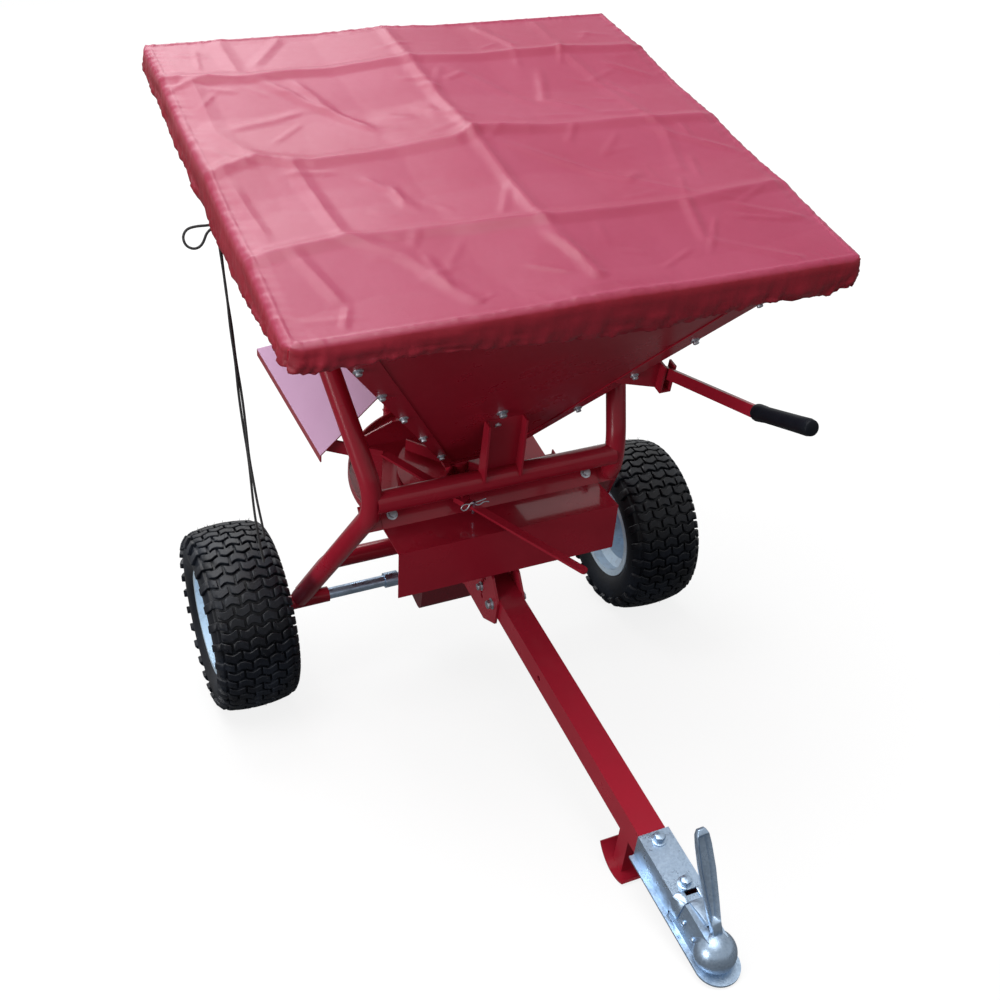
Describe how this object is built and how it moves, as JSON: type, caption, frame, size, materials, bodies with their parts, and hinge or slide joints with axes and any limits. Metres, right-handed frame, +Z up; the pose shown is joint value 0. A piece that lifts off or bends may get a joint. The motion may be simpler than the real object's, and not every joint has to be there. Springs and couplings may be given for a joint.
{
  "type": "towable salt spreader",
  "caption": "Two-wheeled towed broadcast spreader: covered square steel hopper on a bent-tube frame, with a drawbar, ball coupler and lever.",
  "frame": {"origin": "middle of the machine's box from above, without the drawcord, on the ground", "axes": "+X to the machine's right, +Y to the rear, away from the coupler, +Z up; the machine is parked on its foot, nose down"},
  "size_m": [1.118, 1.381, 1.3493],
  "materials": {
    "red_paint": "glossy powder coat",
    "zinc": "bright zinc plate",
    "rim_steel": "silver-blue paint",
    "tyre_rubber": "matt",
    "cover_cloth": "coated nylon, creased",
    "cord": "braided",
    "grip_rubber": "satin",
    "gearbox_iron": "painted casting"
  },
  "bodies": {
    "frame": {"axle_arch": "red_paint", "bearing_sleeve_left": "red_paint", "bearing_sleeve_right": "red_paint", "control_bar": "red_paint", "control_guide": "red_paint", "control_pin": "zinc", "coupler_body": "zinc", "coupler_handle": "zinc", "cover": "cover_cloth", "deflector_stay": "red_paint", "drawbar": "red_paint", "drawbar_plate_left": "red_paint", "drawbar_plate_right": "red_paint", "drawcord_knot": "cord", "drawcord_loop": "cord", "drawcord_tail_long": "cord", "drawcord_tail_short": "cord", "flap_hinge": "red_paint", "foot_leg": "red_paint", "foot_skid": "red_paint", "front_crossbar": "red_paint", "front_leg_left": "red_paint", "front_leg_right": "red_paint", "front_shield": "red_paint", "gearbox": "gearbox_iron", "hopper_back": "red_paint", "hopper_bracket": "red_paint", "hopper_floor": "red_paint", "hopper_front": "red_paint", "hopper_left": "red_paint", "hopper_right": "red_paint", "hopper_rim": "red_paint", "lever_lug": "red_paint", "pan_baffle": "red_paint", "pivot_bolt": "zinc", "quadrant_bracket": "red_paint", "rear_post_left": "red_paint", "rear_post_right": "red_paint", "set_bolt": "zinc", "shield_tabs": "red_paint", "shutter_rails": "red_paint", "spinner_pan": "red_paint"},
    "drive_axle": {"axle_shaft": "zinc", "axle_collars": "zinc", "rim_left": "rim_steel", "tyre_left": "tyre_rubber"},
    "free_wheel": {"rim_right": "rim_steel", "tyre_right": "tyre_rubber"},
    "spinner": {"spindle": "zinc", "spinner_disc": "red_paint"},
    "deflector": {"deflector_flap": "red_paint"},
    "lever": {"gate_lever": "red_paint", "lever_grip": "grip_rubber"},
    "shutter": {"outlet_shutter": "red_paint"}
  },
  "joints": [
    {"name": "axle_turn", "type": "hinge", "parent": "frame", "child": "drive_axle", "pos_m": [0, 0.48447, 0.2], "axis": [1, 0, 0], "continuous": true},
    {"name": "free_wheel_turn", "type": "hinge", "parent": "frame", "child": "free_wheel", "pos_m": [0.4765, 0.48447, 0.2], "axis": [1, 0, 0], "continuous": true},
    {"name": "spinner_turn", "type": "hinge", "parent": "frame", "child": "spinner", "pos_m": [0, 0.37564, 0.47957], "axis": [0, -0.3627, 0.9319], "continuous": true},
    {"name": "deflector_hinge", "type": "hinge", "parent": "frame", "child": "deflector", "pos_m": [-0.176, 0.40853, 0.78103], "axis": [0, 0.9319, 0.3627], "range_deg": [0, 60]},
    {"name": "lever_pivot", "type": "hinge", "parent": "frame", "child": "lever", "pos_m": [0.292, 0.14297, 0.74097], "axis": [-1, 0, 0], "range_deg": [0, 10]},
    {"name": "shutter_slide", "type": "slide", "parent": "frame", "child": "shutter", "axis": [0, 0.9319, 0.3627], "range_m": [0, 0.09]}
  ],
  "couplings": [
    {"joint": "spinner_turn", "follows": "axle_turn", "ratio": 3},
    {"joint": "shutter_slide", "follows": "lever_pivot", "m_per_rad": 0.51556}
  ]
}
